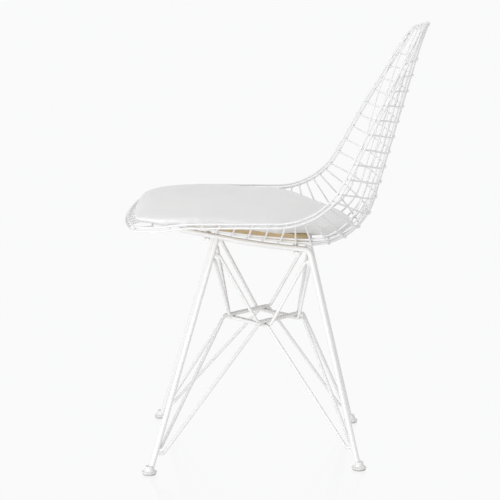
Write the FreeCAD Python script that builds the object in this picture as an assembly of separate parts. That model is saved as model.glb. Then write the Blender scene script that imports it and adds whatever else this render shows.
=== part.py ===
import FreeCAD, Part
import math
import os

# Wire mesh side chair: a dished shell of crossed wires on a tower of bent rods,
# with an upholstered pad on a plywood board. Millimetres, +Z up, front to -Y,
# left and right as seen by the sitter, left on +X.

V = FreeCAD.Vector
doc = FreeCAD.newDocument("wire_chair")

# Driving dimensions

SIZES = [
    # wire and rod stock
    ("wire_dia", 3.2), ("rim_dia", 3.8), ("rod_dia", 11.0), ("brace_dia", 6.4),
    ("rim_gap", 7.4), ("weld_bite", 0.12),
    # shell edge, measured to the middle of the double rim; every rise and drop is
    # counted from the height of the arms
    ("rim_half_width", 239.0), ("rim_height", 479.5),
    ("front_reach", 260.0), ("front_drop", 17.5), ("front_corner_radius", 46.0),
    ("rim_arm_reach", 18.4), ("rim_bend_y", 109.0), ("rim_bend_radius", 138.0),
    ("back_half_width", 176.0), ("back_y", 201.0), ("back_rise", 178.5),
    ("rim_back_reach", 45.4), ("top_half_width", 101.0), ("top_corner_inset", 23.0),
    ("top_corner_drop", 14.5), ("top_corner_radius", 48.0), ("top_y", 311.0),
    ("top_rise", 347.0),
    # line where the mesh lies on the rails
    ("keel_x", 75.0), ("keel_mid_y", -10.0), ("keel_mid_drop", 56.7),
    ("keel_front_drop", 6.5), ("keel_bend_y", 179.0), ("keel_bend_drop", 74.1),
    ("keel_bend_radius", 117.0), ("seat_bend_share", 0.72),
    ("keel_top_inset", 18.0), ("keel_top_drop", 8.5),
    # wire counts, and where the first, the fanned and the last cross wires lie
    ("back_wires", 9), ("fan_wires", 7), ("seat_wires", 9),
    ("first_keel_gap", 57.0), ("first_rim_gap", 160.9),
    ("fan_keel_rise", 99.6), ("fan_rim_rise", 56.2),
    ("fan_keel_setback", 38.0), ("fan_rim_setback", 69.0),
    ("last_keel_gap", 51.3), ("last_rim_gap", 271.0),
    ("length_wires", 11), ("length_pitch", 26.6), ("dish_ratio", 1.65),
    ("lip_radius", 40.0), ("upper_back_radius", 300.0), ("top_bend_radius", 90.0),
    # base
    ("front_foot_x", 188.0), ("front_foot_y", -213.6), ("rear_foot_x", 157.2),
    ("rear_foot_y", 180.1), ("front_leg_top_y", -88.0), ("rear_leg_top_y", 86.0),
    ("rail_front_y", -160.0), ("rail_bend_radius", 16.0),
    ("front_bar_y", -107.6), ("rear_bar_y", 62.0),
    ("front_upper_drop", 35.5), ("front_lower_joint", 44.0),
    ("rear_upper_drop", 26.0), ("rear_lower_joint", 47.0),
    ("diamond_height", 265.0), ("diamond_half_length", 67.0),
    ("diamond_half_width", 72.0), ("crossing_length", 12.0), ("brace_bend_radius", 11.0),
    ("joint_spread", 4.5),
    # feet
    ("boot_height", 16.0), ("boot_dia", 18.6), ("collar_dia", 14.2), ("disc_dia", 28.0),
    # board and pad
    ("board_half_width", 113.0), ("board_front_y", -150.0), ("board_rear_y", 84.0),
    ("board_thickness", 12.0), ("board_corner_radius", 30.0),
    ("pad_half_width", 219.0), ("pad_front_y", -247.0), ("pad_rear_y", 180.0),
    ("pad_rise", 86.2), ("pad_crown", 21.0), ("pad_clearance", 0.4),
]

sheet = doc.addObject("Spreadsheet::Sheet", "Sizes")
for row, (alias, value) in enumerate(SIZES, start=1):
    sheet.set("A%d" % row, alias)
    sheet.set("B%d" % row, str(value))
    sheet.setAlias("B%d" % row, alias)
doc.recompute()


def size(alias):
    return float(sheet.get(alias))


def rise(alias):
    """Height over the floor of what lies a given rise above the arms."""
    return size("rim_height") + size(alias)


def drop(alias):
    """Height over the floor of what lies a given drop below the arms."""
    return size("rim_height") - size(alias)


WIRE_R = size("wire_dia") / 2
RIM_R = size("rim_dia") / 2
ROD_R = size("rod_dia") / 2
BRACE_R = size("brace_dia") / 2
BITE = size("weld_bite")
RIM_STEP = size("rim_gap") / 2
KEEL_X = size("keel_x")


# Paths of straight and round stretches

def rounded(points, radii):
    """Wire through the points, with each inner corner rounded to its radius."""
    edges = []
    start = points[0]
    for corner, before, after, radius in zip(points[1:-1], points, points[2:], radii):
        u = (before - corner).normalize()
        w = (after - corner).normalize()
        half = u.getAngle(w) / 2
        reach = radius / math.tan(half)
        first = corner + u * reach
        last = corner + w * reach
        middle = corner + (u + w).normalize() * (radius / math.sin(half) - radius)
        if (first - start).Length > 0.01:
            edges.append(Part.LineSegment(start, first).toShape())
        edges.append(Part.Arc(first, middle, last).toShape())
        start = last
    if (points[-1] - start).Length > 0.01:
        edges.append(Part.LineSegment(start, points[-1]).toShape())
    return Part.Wire(edges)


def bend_radius(before, corner, after, reach):
    """Radius of a bend that starts and ends at a given length from its corner."""
    u = (before - corner).normalize()
    w = (after - corner).normalize()
    return reach * math.tan(u.getAngle(w) / 2)


def ring(centre, heading, radius, sides):
    """Corners of a wire's section, of the same area as the round wire."""
    across = V(1, 0, 0) if abs(heading.x) < 0.9 else V(0, 0, 1)
    u = heading.cross(across).normalize()
    w = heading.cross(u).normalize()
    turn = 2 * math.pi / sides
    reach = radius * math.sqrt(turn / math.sin(turn))
    corners = []
    for i in range(sides):
        angle = turn * (i + 0.5)
        corners.append(centre + (u * math.cos(angle) + w * math.sin(angle)) * reach)
    return corners


def polygon_face(corners):
    return Part.Face(Part.makePolygon(corners + [corners[0]]))


def rod(path, radius, sides=6):
    """Bar along straight and round stretches, with flat sides to keep it light."""
    edges = path.OrderedEdges
    start = edges[0].valueAt(edges[0].FirstParameter)
    heading = edges[0].tangentAt(edges[0].FirstParameter)
    corners = ring(start, heading, radius, sides)
    faces = [polygon_face(corners)]
    for edge in edges:
        here = edge.valueAt(edge.FirstParameter)
        heading = edge.tangentAt(edge.FirstParameter)
        move = FreeCAD.Placement(heading * edge.Length, FreeCAD.Rotation())
        round_stretch = isinstance(edge.Curve, Part.Circle)
        if round_stretch:
            centre = edge.Curve.Center
            axis = (here - centre).cross(heading).normalize()
            turn = math.degrees(edge.Length / edge.Curve.Radius)
            move = FreeCAD.Placement(V(0, 0, 0), FreeCAD.Rotation(axis, turn), centre)
        moved = [move.multVec(p) for p in corners]
        for i in range(sides):
            j = (i + 1) % sides
            if round_stretch:
                side_edge = Part.LineSegment(corners[i], corners[j]).toShape()
                faces.append(side_edge.revolve(centre, axis, turn).Faces[0])
            else:
                faces.append(polygon_face([corners[i], corners[j], moved[j], moved[i]]))
        corners = moved
    faces.append(polygon_face(corners))
    shell = Part.makeCompound(faces)
    shell.sewShape(0.001)
    shell.fix(0.001, 0.001, 0.001)
    solid = Part.Solid(shell.Shells[0])
    if solid.Volume < 0:
        solid.reverse()
    return solid


class Track:
    """A path as closely spaced points, read by length or by a coordinate."""

    def __init__(self, path, step=1.0):
        self.points = path.discretize(Distance=step)
        self.lengths = [0.0]
        for a, b in zip(self.points, self.points[1:]):
            self.lengths.append(self.lengths[-1] + (b - a).Length)

    def at(self, length):
        length = min(max(length, 0.0), self.lengths[-1])
        for i in range(1, len(self.lengths)):
            if self.lengths[i] >= length:
                break
        share = (length - self.lengths[i - 1]) / (self.lengths[i] - self.lengths[i - 1])
        return self.points[i - 1] + (self.points[i] - self.points[i - 1]) * share

    def heading(self, length):
        return (self.at(length + 2.0) - self.at(length - 2.0)).normalize()

    def where(self, read, value):
        """Length at which read(point) first passes the value."""
        for i in range(1, len(self.points)):
            a = read(self.points[i - 1]) - value
            b = read(self.points[i]) - value
            if a * b <= 0 and a != b:
                share = a / (a - b)
                return self.lengths[i - 1] + share * (self.lengths[i] - self.lengths[i - 1])
        return self.lengths[-1]


# Shell edge: front bar, side arms and top arch of the double rim

OUT_FRONT = V(0, -0.985, -0.17)
OUT_CORNER = V(0.99, 0, 0.12)
OUT_SIDE = V(0.955, 0, 0.295)
OUT_BEND = V(0.84, -0.20, 0.50)
OUT_BACK = V(0.868, -0.465, 0.168)
OUT_TOP = V(0, 0.33, 0.944)


def rim_corners(step):
    """Corners of the left half of a rim wire, moved outward in the shell by step."""
    w = size("rim_half_width")
    h = size("rim_height")
    reach = size("front_reach")
    front = drop("front_drop")
    return [
        V(0, -reach, front) + OUT_FRONT * step,
        V(w - 3, -reach + 8, front + 3) + (OUT_FRONT + OUT_CORNER) * step,
        V(w + 1, -0.55 * reach, h + 0.5) + OUT_SIDE * step,
        V(w - 6, size("rim_bend_y"), h) + OUT_BEND * step,
        V(size("back_half_width"), size("back_y"), rise("back_rise")) + OUT_BACK * step,
        V(size("top_half_width"), size("top_y") - size("top_corner_inset"),
          rise("top_rise") - size("top_corner_drop"))
        + (OUT_BACK * 0.8 + OUT_TOP * 0.6) * step,
        V(0, size("top_y"), rise("top_rise")) + OUT_TOP * step,
    ]


def rim_radii(step):
    p = rim_corners(step)
    return [
        size("front_corner_radius") + step,
        bend_radius(p[1], p[2], p[3], size("rim_arm_reach")),
        size("rim_bend_radius"),
        bend_radius(p[3], p[4], p[5], size("rim_back_reach")),
        size("top_corner_radius") + step,
    ]


def rim_half(step):
    return rounded(rim_corners(step), rim_radii(step))


def rim_wire(step):
    """Closed rim wire: one half and its mirror image, joined at the middle."""
    half = rod(rim_half(step), RIM_R, 8)
    return half.fuse(half.mirror(V(0, 0, 0), V(1, 0, 0)))


RIM = Track(rim_half(0.0))


# Keel line: where the mesh lies over the rails, from the top down to the front

def keel_corners():
    return [
        V(KEEL_X, size("top_y") - size("keel_top_inset"),
          rise("top_rise") - size("keel_top_drop")),
        V(KEEL_X, size("keel_bend_y"), drop("keel_bend_drop")),
        V(KEEL_X, size("keel_mid_y"), drop("keel_mid_drop")),
        V(KEEL_X, -size("front_reach"), drop("keel_front_drop")),
    ]


# The seat's gentle bend ends before the rear legs' tight one begins
SEAT_REACH = size("seat_bend_share") * (size("rear_leg_top_y") - size("keel_mid_y"))


def keel_path():
    p = keel_corners()
    seat_bend = bend_radius(p[1], p[2], p[3], SEAT_REACH)
    return rounded(p, [size("keel_bend_radius"), seat_bend])


KEEL = Track(keel_path())

BACK = int(size("back_wires"))
FAN = int(size("fan_wires"))
SEAT = int(size("seat_wires"))
CROSS_COUNT = BACK + FAN + SEAT


def stations(first, fan_start, fan_end, last):
    """Lengths of the cross wires: even on the back, fanned in the bend, even on the seat."""
    lengths = []
    for i in range(BACK):
        lengths.append(first + (fan_start - first) * i / BACK)
    for i in range(FAN):
        lengths.append(fan_start + (fan_end - fan_start) * i / FAN)
    for i in range(SEAT):
        lengths.append(fan_end + (last - fan_end) * i / (SEAT - 1))
    return lengths


def keel_stations():
    fan_height = drop("keel_bend_drop") + size("fan_keel_rise")
    fan_front = size("keel_mid_y") + size("fan_keel_setback")
    fan_start = KEEL.where(lambda p: p.z, fan_height)
    fan_end = KEEL.where(lambda p: p.y, fan_front)
    last = KEEL.lengths[-1] - size("last_keel_gap")
    lengths = stations(size("first_keel_gap"), fan_start, fan_end, last)
    return [KEEL.at(length) for length in lengths]


def rim_stations():
    total = RIM.lengths[-1]
    back = Track(rim_half(0.0))
    back.points.reverse()
    back.lengths = [total - s for s in reversed(back.lengths)]
    fan_height = size("rim_height") + size("fan_rim_rise")
    fan_front = size("rim_bend_y") - size("fan_rim_setback")
    fan_start = back.where(lambda p: p.z, fan_height)
    fan_end = back.where(lambda p: p.y, fan_front)
    last = total - size("last_rim_gap")
    lengths = stations(size("first_rim_gap"), fan_start, fan_end, last)
    return [(back.at(length), back.heading(length)) for length in lengths]


class CrossWire:
    """Plane curve over the shell: round in the middle, straight out to the rim."""

    def __init__(self, keel, rim, rim_heading):
        span = V(0, rim.y - keel.y, rim.z - keel.z)
        self.up = V(span).normalize()
        slope = span.Length * size("dish_ratio") / rim.x
        for _ in range(12):
            angle = math.atan(slope)
            inward = self.up * math.cos(angle) - V(math.sin(angle), 0, 0)
            outward = V(math.cos(angle), 0, 0) + self.up * math.sin(angle)
            square = outward.cross(rim_heading).normalize()
            seat = (WIRE_R + RIM_R - BITE) / abs(square.dot(inward))
            self.end = rim + inward * seat
            height = span.Length + seat * math.cos(angle)
            if hasattr(self, "radius"):
                height += self.rise(KEEL_X)
            slope = height * size("dish_ratio") / self.end.x
            self.angle = math.atan(slope)
            lift = 1 / math.cos(self.angle) - 1
            self.radius = (self.end.x * slope - height) / lift
        self.centre = V(0, keel.y, keel.z) - self.up * self.rise(KEEL_X)

    def rise(self, x):
        edge = self.radius * math.sin(self.angle)
        if abs(x) <= edge:
            return self.radius - math.sqrt(self.radius ** 2 - x ** 2)
        straight = (abs(x) - edge) * math.tan(self.angle)
        return self.radius * (1 - math.cos(self.angle)) + straight

    def point(self, x):
        return self.centre + self.up * self.rise(x) + V(x, 0, 0)

    def heading(self, x):
        edge = self.radius * math.sin(self.angle)
        tilt = math.asin(max(-edge, min(edge, x)) / self.radius)
        return V(math.cos(tilt), 0, 0) + self.up * math.sin(tilt)

    def solid(self):
        tip = self.end.x + (RIM_STEP + 1.0) * math.cos(self.angle)
        edge = self.radius * math.sin(self.angle)
        left = Part.LineSegment(self.point(-tip), self.point(-edge)).toShape()
        arc = Part.Arc(self.point(-edge), self.centre, self.point(edge)).toShape()
        right = Part.LineSegment(self.point(edge), self.point(tip)).toShape()
        return rod(Part.Wire([left, arc, right]), WIRE_R)


CROSS = [CrossWire(k, *r) for k, r in zip(keel_stations(), rim_stations())]


def shell_height(x, y, first=9):
    """Height of the cross wires' axes over the floor at a place in the seat."""
    line = [wire.point(x) for wire in CROSS[first:]]
    for a, b in zip(line, line[1:]):
        if b.y <= y <= a.y:
            return b.z + (a.z - b.z) * (y - b.y) / (a.y - b.y)
    if y > line[0].y:
        return line[0].z
    slope = (line[-1].z - line[-4].z) / (line[-1].y - line[-4].y)
    return line[-1].z + slope * (y - line[-1].y)


# Lengthwise wires: inside the cross wires, drawn together at the top rim

def rim_point(points, x):
    """First point of the rim, from one end of its half, at a distance x from the middle."""
    for a, b in zip(points, points[1:]):
        if a.x <= abs(x) <= b.x:
            share = (abs(x) - a.x) / (b.x - a.x)
            p = a + (b - a) * share
            return V(math.copysign(p.x, x), p.y, p.z)
    return points[0]


def meet(a, along, b, toward):
    """Point where two lines of a plane x = constant cross."""
    flat = along.y * toward.z - along.z * toward.y
    share = ((b.y - a.y) * toward.z - (b.z - a.z) * toward.y) / flat
    return a + along * share


def resting_place(number, x):
    """Centre of a lengthwise wire where it lies on a cross wire."""
    i = number - 1
    before = CROSS[max(i - 1, 0)].point(x)
    after = CROSS[min(i + 1, CROSS_COUNT - 1)].point(x)
    inward = CROSS[i].heading(x).cross(after - before).normalize()
    if inward.dot(CROSS[i].up) < 0:
        inward = inward * -1
    lift = 2 * WIRE_R - BITE
    return CROSS[i].point(x) + V(0, inward.y, inward.z) * (lift / math.hypot(inward.y, inward.z))


def fitting(before, corner, after, radius):
    """The radius, or what its bend's shorter neighbour has room for."""
    room = 0.45 * min((before - corner).Length, (after - corner).Length)
    return min(radius, bend_radius(before, corner, after, room))


def length_path(k):
    """Over the front lip, along the seat, round the bend and up to the top rim."""
    x = k * size("length_pitch")
    seat = WIRE_R + RIM_R
    gap = RIM_STEP + 1.0
    front = rim_point(RIM.points, x * 1.12)
    top = rim_point(RIM.points[::-1], x * 0.8)
    front_end = front + V(0, OUT_FRONT.z, -OUT_FRONT.y) * seat + OUT_FRONT * gap
    top_end = top + V(0, -OUT_TOP.z, OUT_TOP.y) * seat + OUT_TOP * gap

    seat_front = resting_place(CROSS_COUNT - 3, x)
    seat_middle = resting_place(CROSS_COUNT - 6, x)
    seat_rear = resting_place(CROSS_COUNT - SEAT, x)
    seat_arc = Part.Arc(seat_front, seat_middle, seat_rear)
    ahead = resting_place(CROSS_COUNT, x) - seat_front
    lip = meet(seat_front, ahead, front_end, OUT_FRONT)
    lip = lip + V((front_end.x - x) * 0.4, 0, 0)

    back_low = resting_place(BACK, x)
    back_high = resting_place(4, x)
    leaving = seat_arc.tangent(seat_arc.LastParameter)[0]
    corner = meet(seat_rear, leaving, back_low, back_high - back_low)
    half = (seat_rear - corner).getAngle(back_low - corner) / 2
    middle = resting_place(BACK + FAN // 2 + 1, x)
    ray = ((seat_rear - corner).normalize() + (back_low - corner).normalize()).normalize()
    radius = (middle - corner).dot(ray) / (1 / math.sin(half) - 1)
    radius = min(radius, 0.999 * math.tan(half) * (seat_rear - corner).Length)

    nose = rounded([front_end, lip, seat_front], [size("lip_radius")])
    last = resting_place(1, x * 0.93)
    upper = fitting(corner, back_high, last, size("upper_back_radius"))
    tip = fitting(back_high, last, top_end, size("top_bend_radius"))
    rise_up = rounded([seat_rear, corner, back_high, last, top_end], [radius, upper, tip])
    return Part.Wire(nose.OrderedEdges + [seat_arc.toShape()] + rise_up.OrderedEdges)


def length_wire(k):
    return rod(length_path(k), WIRE_R)


# Base of bent rods

def mirrored(point):
    return V(-point.x, point.y, point.z)


def rail_corners():
    """Corners of a rail's axis, one rod and wire radius square under the mesh."""
    below = WIRE_R + ROD_R - BITE
    top, bend, middle, nose = keel_corners()
    ahead = (nose - middle).normalize()
    behind = (bend - middle).normalize()
    under_front = middle + V(0, -ahead.z, ahead.y) * below
    under_rear = middle + V(0, behind.z, -behind.y) * below
    corner = meet(under_front, ahead, under_rear, behind)
    start = corner + ahead * ((size("rail_front_y") - corner.y) / ahead.y)
    end = corner + behind * ((size("rear_leg_top_y") - corner.y) / behind.y)
    return start, corner, end


RAIL_BEND = bend_radius(*rail_corners(), SEAT_REACH)
RAIL = Track(rounded(list(rail_corners()), [RAIL_BEND]))


def on_rail(y):
    """Point of a rail's axis, and the direction square below it."""
    length = RAIL.where(lambda p: p.y, y)
    heading = RAIL.heading(length)
    return RAIL.at(length), V(0, heading.z, -heading.y)


FRONT_FOOT = V(size("front_foot_x"), size("front_foot_y"), 0)
FRONT_TOP = on_rail(size("front_leg_top_y"))[0]
REAR_FOOT = V(size("rear_foot_x"), size("rear_foot_y"), 0)


def leg_point(foot, top, height):
    return foot + (top - foot) * (height / top.z)


def side_frame():
    start, front, end = rail_corners()
    foot = leg_point(REAR_FOOT, end, 5.0)
    path = rounded([start, front, end, foot], [RAIL_BEND, size("rail_bend_radius")])
    return rod(path, ROD_R, 12)


def front_leg(frame):
    """Straight leg, coped to the underside of the rail."""
    foot = leg_point(FRONT_FOOT, FRONT_TOP, 5.0)
    bar = rod(Part.Wire(Part.LineSegment(foot, FRONT_TOP).toShape()), ROD_R, 12)
    pieces = bar.cut(frame).Solids
    return max(pieces, key=lambda piece: piece.Volume)


def cross_bar(y):
    """Bar from side to side, lying square under both rails."""
    offset = 2 * ROD_R - BITE
    below = on_rail(y)[1]
    rail, below = on_rail(y - below.y * offset)
    z = (rail + below * offset).z
    reach = KEEL_X + 0.73 * ROD_R
    return Part.makeCylinder(ROD_R, 2 * reach, V(-reach, y, z), V(1, 0, 0))


def hooked(joint, leg_heading, corner):
    """Last bend of a brace, so that its end meets the leg squarely."""
    away = corner - joint
    away = away - leg_heading * away.dot(leg_heading)
    return joint + away.normalize() * (ROD_R + 9.0)


def brace(layer, lower, via_front, flip):
    """Brace from a front leg round two corners of the diamond to the far rear leg.

    It starts at the left front leg. via_front takes it round the front corner,
    else round the left and rear ones. flip mirrors it to the right front leg.
    Two braces share each joint, one a little above the other.
    """
    z = size("diamond_height") - layer * (2 * BRACE_R - BITE)
    half_length = size("diamond_half_length")
    half_width = size("diamond_half_width")
    cross = size("crossing_length")
    first = V(cross - 1, -half_length, z)
    second = V(-half_width, cross, z)
    if lower:
        run = (second - first).normalize()
        outward = V(-run.y, run.x, 0)
        if outward.y > 0:
            outward = outward * -1
        step = outward * (2 * BRACE_R + 0.06)
        first = first + step - run * 7.0
        second = second + step
    if not via_front:
        first, second = V(-second.x, -second.y, z), V(-first.x, -first.y, z)
    start, front, end = rail_corners()
    rear_top = V(-end.x, end.y, end.z)
    rear_foot = mirrored(REAR_FOOT)
    front_height = FRONT_TOP.z - size("front_upper_drop")
    rear_height = rear_top.z - size("rear_upper_drop")
    if lower:
        front_height = size("front_lower_joint")
        rear_height = size("rear_lower_joint")
    spread = size("joint_spread") * (1 if via_front != lower else -1)
    joint_a = leg_point(FRONT_FOOT, FRONT_TOP, front_height - spread)
    joint_b = leg_point(rear_foot, rear_top, rear_height + spread)
    head_a = (FRONT_TOP - FRONT_FOOT).normalize()
    head_b = (rear_top - rear_foot).normalize()
    hook_a = hooked(joint_a, head_a, first)
    hook_b = hooked(joint_b, head_b, second)
    points = [joint_a, hook_a, first, second, hook_b, joint_b]
    if flip:
        points = [mirrored(p) for p in points]
    bend = size("brace_bend_radius")
    return rod(rounded(points, [8.0, bend, bend, 8.0]), BRACE_R, 8)


# Glides: a cone boot over each leg end, on a thin floor disc

def boot(foot, leg):
    r_top = size("collar_dia") / 2
    r_low = size("boot_dia") / 2
    r_disc = size("disc_dia") / 2
    top = size("boot_height")
    profile = [
        V(0, 0, 3.2), V(r_disc - 1.2, 0, 3.2), V(r_disc, 0, 4.0), V(r_disc, 0, 5.4),
        V(r_disc - 1.6, 0, 6.2), V(r_low + 0.8, 0, 7.0), V(r_low, 0, 8.0),
        V(r_top + 0.6, 0, top - 1.2), V(r_top, 0, top), V(0, 0, top), V(0, 0, 3.2),
    ]
    face = Part.Face(Part.makePolygon(profile))
    solid = face.revolve(V(0, 0, 0), V(0, 0, 1), 360)
    solid.translate(V(foot.x, foot.y, 0))
    return solid.cut(leg)


def floor_disc(foot):
    r = size("disc_dia") / 2
    disc = Part.makeCylinder(r - 1.4, 3.2, V(foot.x, foot.y, 0), V(0, 0, 1))
    return disc.makeChamfer(0.7, [disc.Edges[-1]])


# Board and pad

def clear_of_wires(y):
    """Lowest height that clears the lengthwise wires under the board's edges."""
    x = 4 * size("length_pitch")
    return shell_height(x, y) + 3 * WIRE_R + 0.35


BOARD_SPARE = 6.0


def board_line():
    """Underside of the board along the seat, with spare length at both ends."""
    rear = size("board_rear_y") + BOARD_SPARE
    front = size("board_front_y") - BOARD_SPARE
    low = [V(0, y, clear_of_wires(y)) for y in (front, (rear + front) / 2, rear)]
    points = Part.Arc(*low).toShape().discretize(40)
    lift = max(max(clear_of_wires(p.y) - p.z for p in points) - 0.3, 0.0)
    return [p + V(0, 0, lift) for p in low]


BOARD_LINE = Track(Part.Wire(Part.Arc(*board_line()).toShape()))


def board_top(y):
    """Height of the board's top, carried on straight past its ends."""
    on_board = min(max(y, size("board_front_y")), size("board_rear_y"))
    length = BOARD_LINE.where(lambda p: p.y, on_board)
    heading = BOARD_LINE.heading(length)
    past = (y - on_board) * heading.z / heading.y
    return BOARD_LINE.at(length).z + past + size("board_thickness")


def seat_board():
    """Moulded plywood: a gentle bow along the seat, cut to a plan with round corners."""
    half = size("board_half_width")
    low = [p - V(half + BOARD_SPARE, 0, 0) for p in board_line()]
    high = [p + V(0, 0, size("board_thickness")) for p in low]
    outline = Part.Wire([
        Part.Arc(low[0], low[1], low[2]).toShape(),
        Part.LineSegment(low[2], high[2]).toShape(),
        Part.Arc(high[2], high[1], high[0]).toShape(),
        Part.LineSegment(high[0], low[0]).toShape(),
    ])
    slab = Part.Face(outline).extrude(V(2 * (half + BOARD_SPARE), 0, 0))
    length = size("board_rear_y") - size("board_front_y")
    height = slab.BoundBox.ZLength + 20.0
    corner = V(-half, size("board_front_y"), slab.BoundBox.ZMin - 10.0)
    plan = Part.makeBox(2 * half, length, height, corner)
    upright = [
        edge for edge in plan.Edges
        if abs(edge.tangentAt(edge.FirstParameter).z) > 0.99
    ]
    return slab.common(plan.makeFillet(size("board_corner_radius"), upright))


# Pad sections from the rear to the front: distance from the rear end as a share of
# the length, half width as a share of the widest, and how far the crown lies below
# the top as a share of the pad's rise
PAD_SECTIONS = [
    (0.000, 0.30, 0.673),
    (0.020, 0.46, 0.638),
    (0.060, 0.64, 0.580),
    (0.120, 0.79, 0.499),
    (0.210, 0.91, 0.365),
    (0.320, 0.975, 0.226),
    (0.460, 1.00, 0.104),
    (0.620, 1.00, 0.017),
    (0.730, 0.985, 0.0),
    (0.800, 0.94, 0.009),
    (0.860, 0.865, 0.041),
    (0.905, 0.76, 0.093),
    (0.943, 0.60, 0.174),
    (0.975, 0.41, 0.290),
    (1.000, 0.20, 0.418),
]


def pad_section(share, width, fall):
    """Flat under the board, drawn in at the sides, arched over the top."""
    rear = size("pad_rear_y")
    front = size("pad_front_y")
    y = rear + (front - rear) * share
    half = size("pad_half_width") * width
    inner = min(size("board_half_width"), 0.5 * half)
    gap = size("pad_clearance")
    over_length_wires = 3 * WIRE_R + gap + 0.6
    flat = shell_height(inner, y) + over_length_wires
    margin = 12.0
    if size("board_front_y") - margin < y < size("board_rear_y") + margin:
        flat = max(flat, board_top(y) + gap)
    edge = shell_height(half, y) + WIRE_R + gap + 0.6
    if half < 6.3 * size("length_pitch"):
        edge = shell_height(half, y) + over_length_wires
    crown = drop("keel_mid_drop") + size("pad_rise") * (1 - fall)
    shoulder_in = 22.0 * width
    top = crown - size("pad_crown") * width
    top = max(top, edge + 3.0)
    crown = max(crown, top + 1.5)
    low = V(half, y, edge)
    high = V(half - shoulder_in, y, top)
    belly = V(half - 0.22 * shoulder_in, y, edge + 0.62 * (top - edge))
    flat_right = V(inner, y, flat)
    left = [mirrored(p) for p in (low, high, belly, flat_right)]
    return Part.Wire([
        Part.LineSegment(left[0], left[3]).toShape(),
        Part.LineSegment(left[3], flat_right).toShape(),
        Part.LineSegment(flat_right, low).toShape(),
        Part.Arc(low, belly, high).toShape(),
        Part.Arc(high, V(0, y, crown), left[1]).toShape(),
        Part.Arc(left[1], left[2], left[0]).toShape(),
    ])


def seat_pad():
    sections = [pad_section(*row) for row in PAD_SECTIONS]
    return Part.makeLoft(sections, True, True)


# All pieces

def as_solid(shape):
    if shape.ShapeType == "Solid":
        return shape
    if len(shape.Solids) == 1:
        return shape.Solids[0]
    return shape


pieces = {}
for i, wire in enumerate(CROSS, start=1):
    pieces["cross_wire_%02d" % i] = wire.solid()

half_count = (int(size("length_wires")) - 1) // 2
for number, k in enumerate(range(-half_count, half_count + 1), start=1):
    pieces["length_wire_%02d" % number] = length_wire(k)

pieces["rim_wire_inner"] = rim_wire(-RIM_STEP)
pieces["rim_wire_outer"] = rim_wire(RIM_STEP)

side = side_frame()
leg = front_leg(side)
mirror = V(1, 0, 0)
pieces["side_frame_left"] = side
pieces["side_frame_right"] = side.mirror(V(0, 0, 0), mirror)
pieces["front_leg_left"] = leg
pieces["front_leg_right"] = leg.mirror(V(0, 0, 0), mirror)
pieces["cross_bar_front"] = cross_bar(size("front_bar_y"))
pieces["cross_bar_rear"] = cross_bar(size("rear_bar_y"))

rods = [pieces[name] for name in (
    "side_frame_left", "side_frame_right", "front_leg_left", "front_leg_right")]
for lower in (False, True):
    for via_front in (True, False):
        for flip in (False, True):
            name = "brace_%s_%s_%s" % (
                "lower" if lower else "upper",
                "front" if via_front else "rear",
                "right" if flip else "left")
            bar = brace(1 if flip else 0, lower, via_front, flip)
            for other in rods:
                bar = bar.cut(other)
            pieces[name] = max(bar.Solids, key=lambda solid: solid.Volume)

feet = [(FRONT_FOOT, leg), (mirrored(FRONT_FOOT), pieces["front_leg_right"]),
        (REAR_FOOT, side), (mirrored(REAR_FOOT), pieces["side_frame_right"])]
pieces["glide_boots"] = Part.makeCompound([boot(foot, stem) for foot, stem in feet])
pieces["glide_discs"] = Part.makeCompound([floor_disc(foot) for foot, stem in feet])
pieces["seat_board"] = seat_board()
pieces["seat_pad"] = seat_pad()

# Origin at the middle of the footprint of the whole chair

box = Part.makeCompound(list(pieces.values())).BoundBox
shift = FreeCAD.Placement(V(-box.Center.x, -box.Center.y, 0), FreeCAD.Rotation())

os.makedirs("parts", exist_ok=True)
for name, shape in pieces.items():
    feature = doc.addObject("Part::Feature", name)
    feature.Label = name
    feature.Shape = as_solid(shape)
    feature.Placement = shift
doc.recompute()

for feature in doc.Objects:
    if "Invalid" in feature.State or "Error" in feature.State:
        raise RuntimeError("%s did not build" % feature.Label)
    if feature.isDerivedFrom("Part::Feature"):
        if feature.Shape.isNull() or not feature.Shape.isValid():
            raise RuntimeError("%s has no valid shape" % feature.Label)

for feature in doc.Objects:
    if feature.isDerivedFrom("Part::Feature"):
        feature.Shape.exportStep("parts/%s.step" % feature.Label)
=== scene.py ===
# %% [markdown]
# # A wire mesh side chair
# The CAD model is the frame of this scene: it is loaded first, nothing in it is
# moved, and every piece made here is built in its coordinates, in metres. The
# box of the frame is kept, so that the finished look can be compared with it.

# %% Load the frame
import bpy
import bmesh
import math
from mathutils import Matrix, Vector


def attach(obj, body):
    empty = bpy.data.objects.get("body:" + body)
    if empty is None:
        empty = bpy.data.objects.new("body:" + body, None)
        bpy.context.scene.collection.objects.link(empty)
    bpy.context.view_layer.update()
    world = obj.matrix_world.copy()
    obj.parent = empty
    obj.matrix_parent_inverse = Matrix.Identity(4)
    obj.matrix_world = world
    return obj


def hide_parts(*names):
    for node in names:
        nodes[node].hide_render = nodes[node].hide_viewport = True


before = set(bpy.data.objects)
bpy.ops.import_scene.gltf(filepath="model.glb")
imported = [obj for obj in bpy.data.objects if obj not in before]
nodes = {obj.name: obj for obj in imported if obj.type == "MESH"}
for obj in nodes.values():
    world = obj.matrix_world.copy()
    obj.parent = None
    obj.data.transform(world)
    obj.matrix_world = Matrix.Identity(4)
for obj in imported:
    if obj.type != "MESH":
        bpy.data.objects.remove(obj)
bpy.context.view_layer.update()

# %% [markdown]
# ## Camera
# A long lens far away gives the flat, catalogue look of the photograph. The
# chair is seen from its left side, from a little above. The camera is made
# first, because every later choice is judged through it. Its place is written
# as where it stands and where it looks, which is easier to read than angles.

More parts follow.
